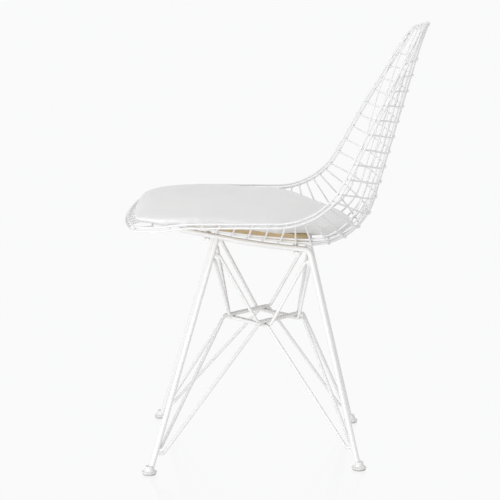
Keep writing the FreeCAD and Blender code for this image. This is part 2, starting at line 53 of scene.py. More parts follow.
# %% Camera
CAMERA_DISTANCE = 3.240
CAMERA_HEIGHT = 1.0075
CAMERA_ASIDE = -0.0243
PITCH = math.radians(10.76)
YAW = math.radians(-0.476)
LENS_MM = 122.6

direction = Vector((
    -math.cos(PITCH) * math.cos(YAW),
    math.cos(PITCH) * math.sin(YAW),
    -math.sin(PITCH),
))
lens = bpy.data.cameras.new("view")
lens.lens = LENS_MM
lens.sensor_width = 36.0
lens.clip_end = 60.0
camera = bpy.data.objects.new("view", lens)
camera.location = (CAMERA_DISTANCE, CAMERA_ASIDE, CAMERA_HEIGHT)
camera.rotation_euler = direction.to_track_quat("-Z", "Y").to_euler()
bpy.context.collection.objects.link(camera)
bpy.context.scene.camera = camera
bpy.context.scene.view_settings.view_transform = "Standard"
print("camera lens", LENS_MM, "mm")

# %% [markdown]
# ## A small language for shader graphs
# Materials below are sums, products and noises of a position. Wiring each node
# by hand hides that. One class wraps an output socket, so a graph reads like the
# formula it stands for, and one method makes any other node from its settings
# and the values or links of its sockets.

# %% Shader helper
class Field:
    """One output of a shader graph that can be used in formulas."""

    def __init__(self, graph, socket):
        self.graph = graph
        self.socket = socket

    def maths(self, operation, *values):
        return self.graph.node(
            "ShaderNodeMath", {"operation": operation}, dict(enumerate(values)))

    def __add__(self, other):
        return self.maths("ADD", self, other)

    def __radd__(self, other):
        return self.maths("ADD", other, self)

    def __sub__(self, other):
        return self.maths("SUBTRACT", self, other)

    def __rsub__(self, other):
        return self.maths("SUBTRACT", other, self)

    def __mul__(self, other):
        return self.maths("MULTIPLY", self, other)

    def __rmul__(self, other):
        return self.maths("MULTIPLY", other, self)

    def __truediv__(self, other):
        return self.maths("DIVIDE", self, other)

    def __rtruediv__(self, other):
        return self.maths("DIVIDE", other, self)

    def __pow__(self, other):
        return self.maths("POWER", self, other)

    def sine(self):
        return self.maths("SINE", self)

    def ramp(self, low, high, to_low=0.0, to_high=1.0):
        return self.graph.node(
            "ShaderNodeMapRange", {"interpolation_type": "SMOOTHSTEP"},
            {"Value": self, "From Min": low, "From Max": high,
             "To Min": to_low, "To Max": to_high})


class Finish:
    """A material with one Principled shader, and a method for what feeds it."""

    def __init__(self, name, color, roughness, **constants):
        self.material = bpy.data.materials.new(name)
        self.material.use_nodes = True
        self.tree = self.material.node_tree
        self.shader = self.tree.nodes["Principled BSDF"]
        self.feed(self.shader, {"Base Color": color, "Roughness": roughness})
        self.feed(self.shader, {k.replace("_", " "): value for k, value in constants.items()})

    def feed(self, node, sockets):
        for key, value in sockets.items():
            if isinstance(value, Field):
                self.tree.links.new(value.socket, node.inputs[key])
            elif isinstance(value, tuple) and node.inputs[key].type == "RGBA":
                node.inputs[key].default_value = (*value, 1.0)
            else:
                node.inputs[key].default_value = value

    def node(self, kind, settings, sockets, output=0):
        node = self.tree.nodes.new(kind)
        for key, value in settings.items():
            setattr(node, key, value)
        self.feed(node, sockets)
        return Field(self, node.outputs[output])

    def position(self, stretch=(1.0, 1.0, 1.0)):
        place = self.node("ShaderNodeTexCoord", {}, {}, "Object")
        return self.node("ShaderNodeMapping", {}, {"Vector": place, "Scale": stretch})

    def noise(self, scale, detail=3.0, stretch=(1.0, 1.0, 1.0), distortion=0.0):
        return self.node("ShaderNodeTexNoise", {}, {
            "Vector": self.position(stretch), "Scale": scale,
            "Detail": detail, "Distortion": distortion}, "Fac")

    def cells(self, scale):
        return self.node("ShaderNodeTexVoronoi", {"feature": "DISTANCE_TO_EDGE"},
                         {"Vector": self.position(), "Scale": scale}, "Distance")

    def attribute(self, name):
        return self.node("ShaderNodeAttribute", {"attribute_name": name}, {}, "Fac")

    def blend(self, factor, low, high):
        return self.node("ShaderNodeMix", {"data_type": "RGBA"},
                         {0: factor, 6: low, 7: high}, 2)

    def wear(self, color=None, roughness=None, height=None, depth=0.0, strength=1.0):
        """Gives the shader its varying colour, roughness and relief."""
        if color is not None:
            self.feed(self.shader, {"Base Color": color})
        if roughness is not None:
            self.feed(self.shader, {"Roughness": roughness})
        if height is not None:
            relief = self.node("ShaderNodeBump", {},
                               {"Height": height, "Distance": depth, "Strength": strength})
            self.feed(self.shader, {"Normal": relief})
        return self.material


print("shader helper ready")

# %% [markdown]
# ## White powder coat
# Powder is baked onto the steel, so it is smooth, a little wavy like orange
# peel, and slightly uneven in gloss. A fine noise gives the peel, a larger one
# varies the gloss, and the colour is a white that is a touch less than pure.

# %% Powder coat
def powder_coat():
    finish = Finish("powder_coat", (0.78, 0.78, 0.78), 0.34, Coat_Weight=0.12)
    cloud = finish.noise(18.0, 2.0)
    return finish.wear(
        color=finish.blend(cloud, (0.755, 0.755, 0.76), (0.80, 0.80, 0.795)),
        roughness=finish.noise(60.0, 2.0).ramp(0.3, 0.7, 0.28, 0.40),
        height=finish.noise(420.0, 1.0), depth=0.00003, strength=0.4)


coat = powder_coat()
print("material", coat.name)

# %% [markdown]
# ## Leather, plywood and glides
# The pad's cover is white leather: a fine pebbled grain made of Voronoi cells,
# broken up by noise, and a soft satin gloss. The board is moulded plywood, so
# its faces show long grain from front to back, and its edge shows the plies as
# bands. The band pattern reads an attribute that says how deep in the board a
# point lies, because the board is bowed and straight bands would miss it.

# %% Leather, plywood and plastics
def leather():
    finish = Finish("white_leather", (0.80, 0.80, 0.79), 0.42, Coat_Weight=0.05)
    pebble = finish.cells(520.0).ramp(0.0, 0.32)
    creases = finish.noise(160.0, 4.0)
    return finish.wear(
        color=finish.blend(finish.noise(7.0, 3.0), (0.775, 0.775, 0.775), (0.825, 0.825, 0.82)),
        roughness=finish.noise(30.0, 3.0).ramp(0.3, 0.7, 0.40, 0.52),
        height=0.7 * pebble + 0.6 * creases, depth=0.00015, strength=0.5)


def plywood(plies=9):
    finish = Finish("plywood", (0.60, 0.46, 0.26), 0.5, Coat_Weight=0.1)
    depth = finish.attribute("depth")
    edge = finish.attribute("edge")
    grain = finish.noise(42.0, 6.0, stretch=(9.0, 1.0, 4.0), distortion=0.6)
    patch = finish.noise(11.0, 2.0, stretch=(1.6, 1.0, 1.0)).ramp(0.55, 0.68)
    face = finish.blend(grain.ramp(0.32, 0.68), (0.47, 0.35, 0.18), (0.66, 0.53, 0.31))
    face = finish.blend(patch * 0.7, face, (0.46, 0.24, 0.13))
    bands = (depth * (plies * math.pi)).sine() ** 2.0
    layers = finish.blend(bands.ramp(0.15, 0.6), (0.42, 0.28, 0.14), (0.66, 0.53, 0.32))
    layers = finish.blend(grain.ramp(0.2, 0.8, 0.0, 0.45), layers, (0.45, 0.31, 0.16))
    return finish.wear(
        color=finish.blend(edge, face, layers),
        roughness=grain.ramp(0.3, 0.7, 0.42, 0.6),
        height=0.6 * grain + 0.4 * (1.0 - bands), depth=0.00020, strength=0.5)


def moulded(name, color, roughness):
    finish = Finish(name, color, roughness)
    pale = tuple(min(1.0, v * 1.04) for v in color)
    dark = tuple(v * 0.95 for v in color)
    return finish.wear(
        color=finish.blend(finish.noise(120.0, 2.0), dark, pale),
        roughness=finish.noise(80.0, 2.0).ramp(0.3, 0.7, roughness - 0.04, roughness + 0.05),
        height=finish.noise(900.0, 2.0), depth=0.00005, strength=0.5)


hide = leather()
ply = plywood()
boot_white = moulded("boot_white", (0.72, 0.72, 0.715), 0.38)
disc_grey = moulded("disc_grey", (0.44, 0.44, 0.44), 0.6)
print("materials", hide.name, ply.name, boot_white.name, disc_grey.name)

# %% [markdown]
# ## Round wires on the frame's own lines
# The CAD bars have flat sides, to keep that model light: six on the mesh wires,
# eight on the edge wires and the braces, twelve on the legs and frames. Here each
# gets a round tube on the same centre line. The long edges of a flat-sided bar
# all run beside its centre line, so a walk along each of them, and the mean of
# the walks, gives the line back. The one line that is typed is the bow of the
# seat's front edge, further on.

# %% Long edges of a bar
WELD = 2e-5
FOLD_RANGE = (22.0, 72.0)
WALK_TURN = 32.0
FULL_SHARE = 0.9


def welded(node):
    """The node's mesh with the copies of its corners joined."""
    mesh = bmesh.new()
    mesh.from_mesh(node.data)
    bmesh.ops.remove_doubles(mesh, verts=mesh.verts, dist=WELD)
    mesh.normal_update()
    return mesh


def fold(edge):
    if len(edge.link_faces) != 2:
        return 0.0
    return math.degrees(edge.link_faces[0].normal.angle(edge.link_faces[1].normal, 0.0))


def walk(vert, heading, sharp, used):
    """Points of the straightest run of sharp edges on from a corner."""
    points = []
    while True:
        best = None
        for edge in vert.link_edges:
            if edge in used or edge not in sharp:
                continue
            step = edge.other_vert(vert).co - vert.co
            turn = math.degrees(step.angle(heading, 0.0))
            if turn < WALK_TURN and (best is None or turn < best[0]):
                best = (turn, edge, step)
        if best is None:
            return points
        used.add(best[1])
        heading = best[2]
        vert = best[1].other_vert(vert)
        points.append(vert.co.copy())


def run_length(points):
    return sum((b - a).length for a, b in zip(points, points[1:]))


def long_edges(mesh):
    """Every run of long edges, all in the same direction."""
    sharp = {e for e in mesh.edges if FOLD_RANGE[0] < fold(e) < FOLD_RANGE[1]}
    used = set()
    runs = []
    for seed in sorted(sharp, key=lambda e: -e.calc_length()):
        if seed in used:
            continue
        used.add(seed)
        a, b = seed.verts
        back = walk(a, a.co - b.co, sharp, used)
        on = walk(b, b.co - a.co, sharp, used)
        runs.append(back[::-1] + [a.co.copy(), b.co.copy()] + on)
    full = max(run_length(run) for run in runs)
    runs = [run for run in runs if run_length(run) > FULL_SHARE * full]
    first = runs[0]
    return [
        run if (run[0] - first[0]).length < (run[-1] - first[0]).length else run[::-1]
        for run in runs
    ]


sample = welded(nodes["cross_wire_01"])
print("cross_wire_01:", len(long_edges(sample)), "long edges")

# %% [markdown]
# ## Centre line from the long edges
# At each point of one long edge a plane is laid across the bar. Where it cuts the
# other long edges, the mean of the cuts lies in the middle of the bar. Points on
# straight stretches are left out, and both ends are drawn out to the bar's tips.

# %% Centre lines
WIRE_RADIUS = 0.0016
CUT_REACH = 2.4
ON_PLANE = 1e-6
LEAST_STEP = 1e-9
STRAIGHT_TURN = 0.15


def dense(run, step=0.012):
    """The same run with points put in where its edges are long."""
    points = [run[0]]
    for a, b in zip(run, run[1:]):
        count = max(1, math.ceil((b - a).length / step))
        points += [a.lerp(b, i / count) for i in range(1, count + 1)]
    return points


def crossing(run, place, heading, reach, start):
    """Where a run passes the plane square to a heading, near a place."""
    for i in range(start, len(run) - 1):
        a = (run[i] - place).dot(heading)
        b = (run[i + 1] - place).dot(heading)
        if a > ON_PLANE or b < -ON_PLANE or b - a < LEAST_STEP:
            continue
        cut = run[i].lerp(run[i + 1], min(1.0, max(0.0, -a / (b - a))))
        if (cut - place).length < reach:
            return cut, i
    return None, start


def centre_line(mesh, radius):
    """Mean of the long edges, in planes square to the first of them."""
    runs = long_edges(mesh)
    guide = dense(max(runs, key=len))
    marks = [0] * len(runs)
    line = []
    for i, place in enumerate(guide):
        heading = (guide[min(i + 1, len(guide) - 1)] - guide[max(i - 1, 0)]).normalized()
        cuts = []
        for j, run in enumerate(runs):
            cut, marks[j] = crossing(run, place, heading, CUT_REACH * radius, marks[j])
            if cut is not None:
                cuts.append(cut)
        if len(cuts) == len(runs):
            line.append(sum(cuts, Vector()) / len(cuts))
    return reaching_ends(thinned(line), runs)


def thinned(line):
    """Leaves out points on straight stretches."""
    kept = [line[0]]
    for here, after in zip(line[1:], line[2:]):
        turn = (here - kept[-1]).angle(after - here, 0.0)
        if math.degrees(turn) > STRAIGHT_TURN:
            kept.append(here)
    return kept + [line[-1]]


def reaching_ends(line, runs):
    """Lengthens both ends to the farthest tip of the long edges."""
    for tips, end, inner in (([r[0] for r in runs], 0, 1), ([r[-1] for r in runs], -1, -2)):
        heading = (line[end] - line[inner]).normalized()
        far = max((tip - line[end]).dot(heading) for tip in tips)
        line[end] = line[end] + heading * max(0.0, far)
    return line


line = centre_line(sample, WIRE_RADIUS)
sample.free()
print("its centre line:", len(line), "points,", round(run_length(line) * 1000, 1), "mm")

# %% [markdown]
# ## The rolled edge of the shell
# The shell ends in two parallel wires. Seen from the side they lie one over the
# other all along the arm, because the mesh turns down over its last few
# millimetres: the second wire lies behind the first, not beside it. The CAD
# model has them side by side. Their middle line is kept here, and the pair is
# turned about it. The front of the seat also bows forward between its corners.

# %% Middle line of the double edge
RIM_RADIUS = 0.0019
RIM_STEP = 0.0037
SEAT_GAP = 0.0035
HALF_POINTS = 400
CORNER_POINTS = 12
FRONT_PLAN = ((0.0, -0.2856, 0.4652), (0.045, -0.2846, 0.4652), (0.085, -0.2818, 0.4656),
              (0.125, -0.2770, 0.4664), (0.160, -0.2708, 0.4676), (0.188, -0.2646, 0.4690))
TOP_BACK = 0.0038
FRONT_CORNER = Vector((0.2395, -0.2545, 0.4710))
ARM_START = -0.205


def evenly(points, count):
    """The same line as evenly spaced points."""
    total = run_length(points)
    result = []
    index = 0
    passed = 0.0
    for i in range(count):
        goal = total * i / (count - 1)
        while index < len(points) - 2:
            length = (points[index + 1] - points[index]).length
            if passed + length >= goal:
                break
            passed += length
            index += 1
        step = points[index + 1] - points[index]
        result.append(points[index] + step * min(1.0, (goal - passed) / step.length))
    return result


def bezier(a, b, c, count):
    """Points of a bend from a to c that leaves and arrives along the lines to b."""
    points = []
    for i in range(count + 1):
        t = i / count
        points.append(a * (1 - t) ** 2 + b * (2 * t * (1 - t)) + c * t ** 2)
    return points


def half_of(name):
    """Left half of a rim wire's line, from the front to the top."""
    mesh = welded(nodes[name])
    gone = [f for f in mesh.faces if f.calc_center_median().x < 0.0]
    bmesh.ops.delete(mesh, geom=gone, context="FACES")
    line = centre_line(mesh, RIM_RADIUS)
    mesh.free()
    return line if line[0].y < line[-1].y else line[::-1]


pair = [evenly(half_of(name), HALF_POINTS) for name in ("rim_wire_inner", "rim_wire_outer")]
middle = [(a + b) / 2 for a, b in zip(*pair)]
spread = [(b - a).normalized() for a, b in zip(*pair)]
arm = next(i for i, p in enumerate(middle) if p.y > ARM_START)
front = [Vector(p) for p in FRONT_PLAN]
front = front[:-1] + bezier(front[-1], FRONT_CORNER, middle[arm], CORNER_POINTS)
print("middle line:", len(middle), "points, arm from point", arm)

# %% [markdown]
# ## Turning the pair
# Each station on the edge has a place and three directions: to the second wire,
# to the inside and outward. On the arms the second wire lies behind the first.
# Towards the front edge and towards the top it swings outward, by an angle that
# grows smoothly with the place, and a running mean takes out small steps. The
# top of the middle line is also drawn forward a little, so that the turned pair
# stays within the depth of the CAD model.

# %% The pair turned about its middle line
STATIONS = 460
FRONT_LEAN = math.radians(45.0)
FRONT_LEAN_SPAN = (-0.262, -0.180)
TOP_LEAN = math.radians(72.0)
TOP_LEAN_SPAN = (0.775, 0.830)
TOP_BACK_SPAN = (0.760, 0.826)
EASE_REACH = 4
EASE_ROUNDS = 6


def blend(value, low, high):
    t = min(1.0, max(0.0, (value - low) / (high - low)))
    return t * t * (3 - 2 * t)


def eased(stations, i):
    """A station with its directions drawn towards those beside it."""
    near = stations[max(0, i - EASE_REACH):i + EASE_REACH + 1]
    drawn = (sum((n[k] for n in near), Vector()).normalized() for k in (1, 2, 3))
    return (stations[i][0], *drawn)


def edge_stations():
    """Along the left half: place, way to the second wire, way inside, way outward."""
    places = evenly(front + middle[arm + 1:], STATIONS)
    places = [p - Vector((0.0, TOP_BACK * blend(p.z, *TOP_BACK_SPAN), 0.0)) for p in places]
    stations = []
    for i, place in enumerate(places):
        along = (places[min(i + 1, STATIONS - 1)] - places[max(i - 1, 0)]).normalized()
        near = min(range(len(middle)), key=lambda j: (middle[j] - place).length)
        out = spread[near]
        out = (out - along * out.dot(along)).normalized()
        behind = along.cross(out)
        lean = FRONT_LEAN * (1.0 - blend(place.y, *FRONT_LEAN_SPAN))
        lean += TOP_LEAN * blend(place.z, *TOP_LEAN_SPAN)
        turned = behind * math.cos(lean) + out * math.sin(lean)
        inward = behind * math.sin(lean) - out * math.cos(lean)
        stations.append((place, turned, inward, out))
    for _ in range(EASE_ROUNDS):
        stations = [eased(stations, i) for i in range(len(stations))]
    return stations


EDGE = edge_stations()


def mirrored(line):
    return [Vector((-p.x, p.y, p.z)) for p in line]


def edge_wire(side):
    half = [place + turned * (RIM_STEP * side) for place, turned, inward, out in EDGE]
    half[0].x = 0.0
    half[-1].x = 0.0
    return half + mirrored(half[::-1][1:-1])


print("edge:", len(EDGE), "stations a side")

# %% [markdown]
# ## Ends of the mesh wires
# Every mesh wire ends at the double edge and is welded there. It comes up to the
# first edge wire on the inner side, bends, and runs across to just past the
# second. Near the front, points of the CAD wire that lie outside the bowed edge,
# or close to it, are taken off first.

# %% Ends of the mesh wires
CUT_BACK_FRONT = -0.21
CUT_BACK_CLEAR = -0.004
LEAST_POINTS = 4
CORNER_SHORT = 0.0004
TIP_PAST = 0.0010
END_CLEAR = 0.012
END_LEAD = 0.0045
END_BEND_SHARE = 0.6
END_BEND_POINTS = 5


def nearest_station(point):
    mirror = Vector((abs(point.x), point.y, point.z))
    station = min(EDGE, key=lambda e: (e[0] - mirror).length)
    return station if point.x > 0 else tuple(mirrored(station))


def turned_end(line):
    """Ends a wire at the double edge: up to its first wire, then past its second."""
    line = list(line)
    while True:
        place, turned, inward, out = nearest_station(line[-1])
        well_inside = (line[-1] - place).dot(out) < CUT_BACK_CLEAR
        if len(line) < LEAST_POINTS or place.y > CUT_BACK_FRONT or well_inside:
            break
        line.pop()
    corner = place + inward * SEAT_GAP - turned * (RIM_STEP - CORNER_SHORT)
    tip = place + inward * SEAT_GAP + turned * (RIM_STEP + TIP_PAST)
    kept = [p for p in line if min((p - corner).length, (p - tip).length) > END_CLEAR]
    heading = (kept[-1] - corner).normalized()
    across = corner + (tip - corner) * END_BEND_SHARE
    bend = bezier(corner + heading * END_LEAD, corner, across, END_BEND_POINTS)
    return kept + bend + [tip]


def both_ends(line):
    return turned_end(turned_end(line)[::-1])[::-1]


print("edge wires", round(RIM_STEP * 2000, 1), "mm apart")

# %% [markdown]
# ## A round bar along a line
# A wire is a circle swept along a line. The node tree says just that: a curve,
# a circle of the stock's radius, a mesh. Its inputs are named for what a smith
# would ask: radius, number of sides, whether the ends are closed, and finish.

# %% Node tree for round bars
WIRE_SIDES = 12


def round_bar_tree():
    tree = bpy.data.node_groups.new("round_bar", "GeometryNodeTree")
    face = tree.interface
    face.new_socket("Line", in_out="INPUT", socket_type="NodeSocketGeometry")
    for title, kind, value in (
        ("Radius", "NodeSocketFloat", WIRE_RADIUS),
        ("Sides", "NodeSocketInt", WIRE_SIDES),
        ("Closed Ends", "NodeSocketBool", True),
    ):
        face.new_socket(title, in_out="INPUT", socket_type=kind).default_value = value
    face.new_socket("Finish", in_out="INPUT", socket_type="NodeSocketMaterial")
    face.new_socket("Bar", in_out="OUTPUT", socket_type="NodeSocketGeometry")
    make = tree.nodes.new
    start = make("NodeGroupInput")
    end = make("NodeGroupOutput")
    curve = make("GeometryNodeMeshToCurve")
    circle = make("GeometryNodeCurvePrimitiveCircle")
    sweep = make("GeometryNodeCurveToMesh")
    shade = make("GeometryNodeSetShadeSmooth")
    whole = make("GeometryNodeRealizeInstances")
    paint = make("GeometryNodeSetMaterial")
    join = tree.links.new
    join(start.outputs["Line"], curve.inputs["Mesh"])
    join(start.outputs["Sides"], circle.inputs["Resolution"])
    join(start.outputs["Radius"], circle.inputs["Radius"])
    join(curve.outputs["Curve"], sweep.inputs["Curve"])
    join(circle.outputs["Curve"], sweep.inputs["Profile Curve"])
    join(start.outputs["Closed Ends"], sweep.inputs["Fill Caps"])
    join(sweep.outputs["Mesh"], shade.inputs["Geometry"])
    join(shade.outputs["Geometry"], whole.inputs["Geometry"])
    join(whole.outputs["Geometry"], paint.inputs["Geometry"])
    join(start.outputs["Finish"], paint.inputs["Material"])
    join(paint.outputs["Geometry"], end.inputs["Bar"])
    return tree


ROUND_BAR = round_bar_tree()
INPUTS = {item.name: item.identifier for item in ROUND_BAR.interface.items_tree
          if item.in_out == "INPUT"}
print("round bar inputs:", list(INPUTS))

# %% [markdown]
# ## From the tree to a plain mesh
# A line gets the tree as a modifier, and what comes out is copied as a plain
# mesh, so that nothing in the finished scene still depends on the tree. Each
# piece then rides on the frame, stands in for its CAD node, which is hidden,
# and gets its finish.

# %% Bars
def bar(name, points, radius, finish, closed, sides):
    """A plain mesh of a round bar along points; closed makes it a loop."""
    line = bpy.data.meshes.new(name + "_line")
    edges = [(i, i + 1) for i in range(len(points) - 1)]
    if closed:
        edges.append((len(points) - 1, 0))
    line.from_pydata([tuple(p) for p in points], edges, [])
    holder = bpy.data.objects.new(name + "_line", line)
    bpy.context.collection.objects.link(holder)
    sweep = holder.modifiers.new("round_bar", "NODES")
    sweep.node_group = ROUND_BAR
    sweep[INPUTS["Radius"]] = radius
    sweep[INPUTS["Sides"]] = sides
    sweep[INPUTS["Closed Ends"]] = not closed
    sweep[INPUTS["Finish"]] = finish
    holder.update_tag()
    graph = bpy.context.evaluated_depsgraph_get()
    mesh = bpy.data.meshes.new_from_object(holder.evaluated_get(graph))
    bpy.data.objects.remove(holder)
    bpy.data.meshes.remove(line)
    mesh.name = name
    piece = bpy.data.objects.new(name, mesh)
    bpy.context.collection.objects.link(piece)
    for polygon in mesh.polygons:
        polygon.use_smooth = len(polygon.vertices) == 4
    return piece


def dress(piece, node_name, material):
    piece.data.materials.clear()
    piece.data.materials.append(material)
    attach(piece, "root")
    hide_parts(node_name)


print("bars of", WIRE_SIDES, "sides or more")

# %% [markdown]
# ## Every wire and rod
# Steel stock comes in fixed sizes, so the radii are given. The mesh wires get
# their turned ends, the rods keep their line, and the two edge wires follow the
# stations found above.

# %% Every wire and rod
BAR_RADIUS = {
    "cross_wire": WIRE_RADIUS,
    "length_wire": WIRE_RADIUS,
    "rim_wire": RIM_RADIUS,
    "brace": 0.0032,
    "side_frame": 0.0055,
    "front_leg": 0.0055,
}
ROD_FROM = 0.003
ROD_SIDES = 20


def wire_line(name, kind):
    if kind == "rim_wire":
        return edge_wire(-1.0 if name.endswith("inner") else 1.0)
    mesh = welded(nodes[name])
    line = centre_line(mesh, BAR_RADIUS[kind])
    mesh.free()
    if kind in ("cross_wire", "length_wire"):
        line = both_ends(line)
    return line


for name in sorted(nodes):
    kind = next((k for k in BAR_RADIUS if name.startswith(k)), None)
    if kind is None:
        continue
    line = wire_line(name, kind)
    sides = ROD_SIDES if BAR_RADIUS[kind] > ROD_FROM else WIRE_SIDES
    piece = bar("round_" + name, line, BAR_RADIUS[kind], coat, kind == "rim_wire", sides)
    dress(piece, name, coat)
    if name.endswith(("_01", "left", "inner")):
        print(name, len(line), "points", round(run_length(line) * 1000, 1), "mm")

# %% [markdown]
# ## Parts that keep their CAD form
# The two cross bars, the boots and the discs are true round solids in the CAD
# model, not flat-sided bars, so no new shape is made. They only get a finish.

# %% Finish of the nodes that stay
def finish_node(name, material):
    data = nodes[name].data
    data.materials.clear()
    data.materials.append(material)


KEPT = {
    "cross_bar_front": coat,
    "cross_bar_rear": coat,
    "glide_boots": boot_white,
    "glide_discs": disc_grey,
}
for name, material in KEPT.items():
    finish_node(name, material)
print("kept as they are:", list(KEPT))

# %% [markdown]
# ## Board
# The board keeps the CAD outline. Its copy gets two attributes that the plywood
# reads: how deep in the board a corner lies, and which faces are the cut edge.

# %% Board
FACE_TILT = 0.6


def board():
    mesh = welded(nodes["seat_board"])
    deep = mesh.verts.layers.float.new("depth")
    for vert in mesh.verts:
        up = max((f.normal.z for f in vert.link_faces), key=abs)
        vert[deep] = 1.0 if up > 0 else 0.0
    data = bpy.data.meshes.new("board")
    mesh.to_mesh(data)
    mesh.free()
    rim = data.attributes.new("edge", "FLOAT", "FACE")
    for face, value in zip(data.polygons, rim.data):
        value.value = 0.0 if abs(face.normal.z) > FACE_TILT else 1.0
    piece = bpy.data.objects.new("plywood_board", data)
    bpy.context.collection.objects.link(piece)
    return piece


plank = board()
dress(plank, "seat_board", ply)
print("board", len(plank.data.polygons), "faces")

# %% [markdown]
# ## Pad
# The pad is foam under a tight cover: crowned on top, drawn in at the sides and
# thinning out towards the back. The CAD solid has that form in flat strips. Its
# copy is remeshed evenly and smoothed, so that it can be shaped point by point.

# %% Tools for the pad
PAD_VOXEL = 0.005
PAD_SMOOTHING = (10, 12)
PAD_SMOOTH_FACTOR = 0.5


def apply_modifier(piece, modifier):
    with bpy.context.temp_override(object=piece, active_object=piece):
        bpy.ops.object.modifier_apply(modifier=modifier.name)


def smooth_surface(piece, rounds):
    smooth = piece.modifiers.new("smooth", "SMOOTH")
    smooth.factor = PAD_SMOOTH_FACTOR
    smooth.iterations = rounds
    apply_modifier(piece, smooth)


print("pad remeshed at", PAD_VOXEL * 1000, "mm")

# %% [markdown]
# ## Outline of the pad
# In the photograph the pad is squarer in front than the CAD solid, narrower at
# the back, and lower there. The tables give, for places from the front to the
# rear, the half width, how far the top sinks and how far the shoulders sink.
# Near the front and the sides the top is also spread outward, so that the
# flanks stand more upright.

# %% Outline of the pad
PAD_HALF_WIDTH = (
    (-0.272, 0.060), (-0.268, 0.104), (-0.262, 0.140), (-0.255, 0.160), (-0.240, 0.180),
    (-0.220, 0.199), (-0.200, 0.209), (-0.150, 0.216), (0.000, 0.212), (0.030, 0.190),
    (0.050, 0.172), (0.072, 0.152), (0.097, 0.125), (0.113, 0.105), (0.128, 0.084),
    (0.140, 0.062), (0.156, 0.024))
PAD_SINK = (
    (0.010, 0.0), (0.030, 0.003), (0.050, 0.006), (0.072, 0.012), (0.097, 0.017),
    (0.113, 0.019), (0.140, 0.022), (0.160, 0.022))
PAD_SHOULDER = (
    (-0.272, 0.000), (-0.240, -0.002), (-0.200, -0.003), (-0.150, -0.003),
    (-0.100, -0.002), (0.000, -0.001), (0.030, 0.0))
PAD_BIN = 0.004
PAD_FOOT = 0.004
PAD_THICKNESS = 0.046
PAD_LEAST_HALF = 0.02
PAD_MOST_WIDENED = 1.6
PAD_EDGE_SINK = 0.35
PAD_SIDE_DROP = 0.0015
PAD_DROP_SPAN = (0.72, 0.95)
PAD_UP_SPAN = (-0.5, 0.5)
PAD_AHEAD_SPAN = (0.020, 0.090)
PAD_SHOULDER_IN = (0.15, 0.80)
PAD_SHOULDER_OUT = (0.90, 1.0)
PAD_FULL = (0.7, 0.3)
PAD_SIDE_FULL = 1.9
PAD_FRONT = (-0.200, 0.072)
PAD_FRONT_FULL = 1.6
PAD_REAR_FROM = 0.130
PAD_REAR_SHARE = 0.74


def read(table, value):
    """Value of a table of pairs at a place, drawn straight between its rows."""
    if value <= table[0][0]:
        return table[0][1]
    for (a, low), (b, high) in zip(table, table[1:]):
        if value <= b:
            return low + (high - low) * (value - a) / (b - a)
    return table[-1][1]


def widths(piece):
    """Half width of the pad in bins from the front to the rear."""
    wide = {}
    for vert in piece.data.vertices:
        key = round(vert.co.y / PAD_BIN)
        wide[key] = max(wide.get(key, 0.0), abs(vert.co.x))
    return tuple((key * PAD_BIN, wide[key]) for key in sorted(wide))


def fuller_side(side):
    """How much further out a place near the side moves, as a factor."""
    start, band = PAD_FULL
    part = min(1.0, (side - start) / band)
    return (start + band * (1.0 - (1.0 - part) ** PAD_SIDE_FULL)) / side


def ease_outline(piece):
    """Moves the pad's surface to the widths and heights of the tables."""
    now = widths(piece)
    low = min(v.co.z for v in piece.data.vertices)
    facing = [v.normal.z for v in piece.data.vertices]
    for vert, turned_up in zip(piece.data.vertices, facing):
        place = vert.co
        half = max(read(now, place.y), PAD_LEAST_HALF)
        wanted = read(PAD_HALF_WIDTH, place.y)
        side = min(1.0, abs(place.x) / half)
        height = min(1.0, max(0.0, (place.z - low - PAD_FOOT) / PAD_THICKNESS))
        up = blend(turned_up, *PAD_UP_SPAN)
        ahead = 1.0 - blend(place.y, *PAD_AHEAD_SPAN)
        shoulder = blend(side, *PAD_SHOULDER_IN) * (1.0 - blend(side, *PAD_SHOULDER_OUT))
        edge = 1.0 + PAD_EDGE_SINK * side * side
        place.z += read(PAD_SHOULDER, place.y) * shoulder * up
        place.z -= PAD_SIDE_DROP * blend(side, *PAD_DROP_SPAN) * (1.0 - up) * ahead
        place.z -= read(PAD_SINK, place.y) * edge * height
        if side > PAD_FULL[0]:
            place.x *= 1.0 + (fuller_side(side) - 1.0) * up * ahead
        place.x *= min(PAD_MOST_WIDENED, wanted / half)
        part = min(1.0, (PAD_FRONT[0] - place.y) / PAD_FRONT[1])
        if part > 0.0:
            grown = 1.0 - (1.0 - part) ** PAD_FRONT_FULL
            place.y -= (grown - part) * PAD_FRONT[1] * up
        if place.y > PAD_REAR_FROM:
            place.y = PAD_REAR_FROM + (place.y - PAD_REAR_FROM) * PAD_REAR_SHARE


print("pad outline from", PAD_HALF_WIDTH[0][0], "to", PAD_HALF_WIDTH[-1][0], "m")

# %% [markdown]
# ## Filling the pad
# The shaped copy is blown up a little by cloth simulation, which rounds the
# shoulders as stuffing does. Each point is kept within a few millimetres of
# where it started, so the pad keeps its outline.

# %% Pad
PAD_FRAMES = 14
PAD_PRESSURE = 1.6
PAD_TENSION = 30.0
PAD_BENDING = 2.0
PAD_CAP = 0.0025


def pad():
    data = nodes["seat_pad"].data.copy()
    piece = bpy.data.objects.new("leather_pad", data)
    bpy.context.collection.objects.link(piece)
    mesh = welded(nodes["seat_pad"])
    mesh.to_mesh(data)
    mesh.free()
    remesh = piece.modifiers.new("even", "REMESH")
    remesh.mode = "VOXEL"
    remesh.voxel_size = PAD_VOXEL
    apply_modifier(piece, remesh)
    smooth_surface(piece, PAD_SMOOTHING[0])
    ease_outline(piece)
    smooth_surface(piece, PAD_SMOOTHING[1])
    return piece


